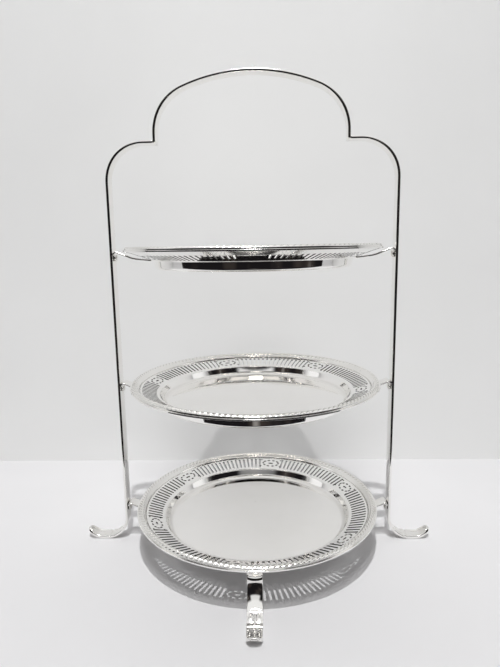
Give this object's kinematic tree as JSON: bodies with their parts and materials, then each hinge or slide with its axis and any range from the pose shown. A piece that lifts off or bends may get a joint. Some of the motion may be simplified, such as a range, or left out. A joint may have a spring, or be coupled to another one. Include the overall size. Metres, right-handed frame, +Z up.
{
  "type": "tiered cake stand",
  "caption": "Folding silver-plated cake stand: a flat-strap frame with an arched handle carries pierced round plates that tip on riveted ears, on curled feet.",
  "frame": {"origin": "on the table, under the middle of the plates", "axes": "+Z up along the stand's height, -Y towards the front foot, +X towards the right-hand side foot"},
  "size_m": [0.3164, 0.2798, 0.406],
  "materials": {
    "frame_silver": "mirror-polished silver plate",
    "plate_silver": "mirror-polished silver plate with fine wear scratches",
    "border_silver": "polished silver plate, slightly toned in the hollows",
    "rivet_silver": "polished silver plate"
  },
  "bodies": {
    "frame": {"left_strap": "frame_silver", "right_strap": "frame_silver", "handle_arch": "frame_silver"},
    "top_tier": {"top_plate": "plate_silver", "top_border": "border_silver", "top_left_arm": "frame_silver", "top_right_arm": "frame_silver", "top_rivets": "rivet_silver"},
    "middle_tier": {"middle_plate": "plate_silver", "middle_border": "border_silver", "middle_left_arm": "frame_silver", "middle_right_arm": "frame_silver", "middle_rivets": "rivet_silver"},
    "bottom_tier": {"bottom_plate": "plate_silver", "bottom_border": "border_silver", "bottom_left_arm": "frame_silver", "bottom_right_arm": "frame_silver", "bottom_rivets": "rivet_silver", "front_foot": "frame_silver", "rear_foot": "frame_silver"}
  },
  "joints": [
    {"name": "top_tilt", "type": "hinge", "parent": "frame", "child": "top_tier", "pos_m": [0, 0, 0.2585], "axis": [1, 0, 0], "range_deg": [0, 75]},
    {"name": "middle_tilt", "type": "hinge", "parent": "frame", "child": "middle_tier", "pos_m": [0, 0, 0.1435], "axis": [1, 0, 0], "range_deg": [0, 65]},
    {"name": "bottom_tilt", "type": "hinge", "parent": "frame", "child": "bottom_tier", "pos_m": [0, 0, 0.0296], "axis": [1, 0, 0], "range_deg": [0, 50]}
  ]
}
